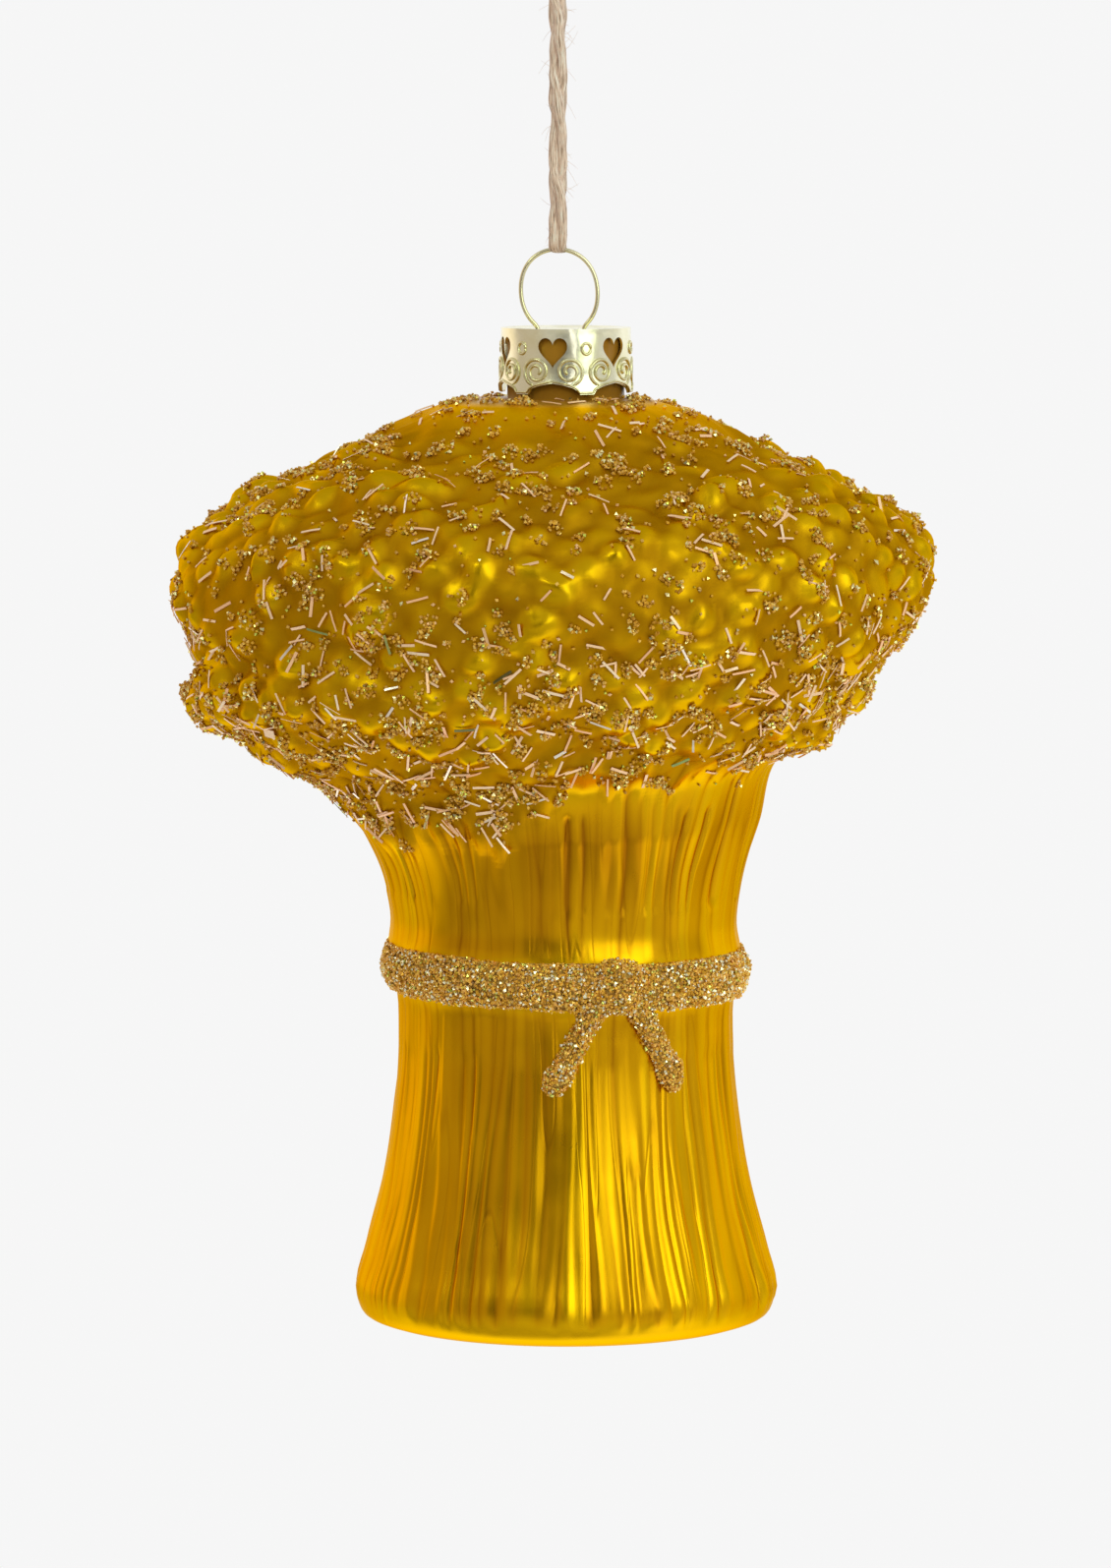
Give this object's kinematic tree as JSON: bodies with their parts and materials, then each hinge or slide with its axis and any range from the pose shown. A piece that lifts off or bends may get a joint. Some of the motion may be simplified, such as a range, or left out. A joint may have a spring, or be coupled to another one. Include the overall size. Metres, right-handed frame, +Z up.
{
  "type": "wheat bundle ornament",
  "caption": "Blown-glass tree ornament shaped as a bound bundle of wheat, with a tin cap, a wire hanging ring and a jute twine loop.",
  "frame": {"origin": "the hang point: the inside of the twine's loop just under its knot, where a hook or a twig holds it", "axes": "+Z up along the twine, front towards -Y with the moulded tie's knot just right of the middle, +X to the right"},
  "size_m": [0.0829, 0.0715, 0.1591],
  "materials": {
    "golden_glass": "satin gold-yellow lacquer over silvered glass, head and tie crusted with glitter",
    "pale_gold_tin": "bright pale gold, thin embossed tin",
    "pale_gold_wire": "pale gold spring wire",
    "jute": "natural two-ply jute twine"
  },
  "bodies": {
    "root": {"glass_sheaf": "golden_glass", "cap": "pale_gold_tin", "hanging_ring": "pale_gold_wire", "twine": "jute", "twine_knot": "jute"}
  },
  "joints": []
}
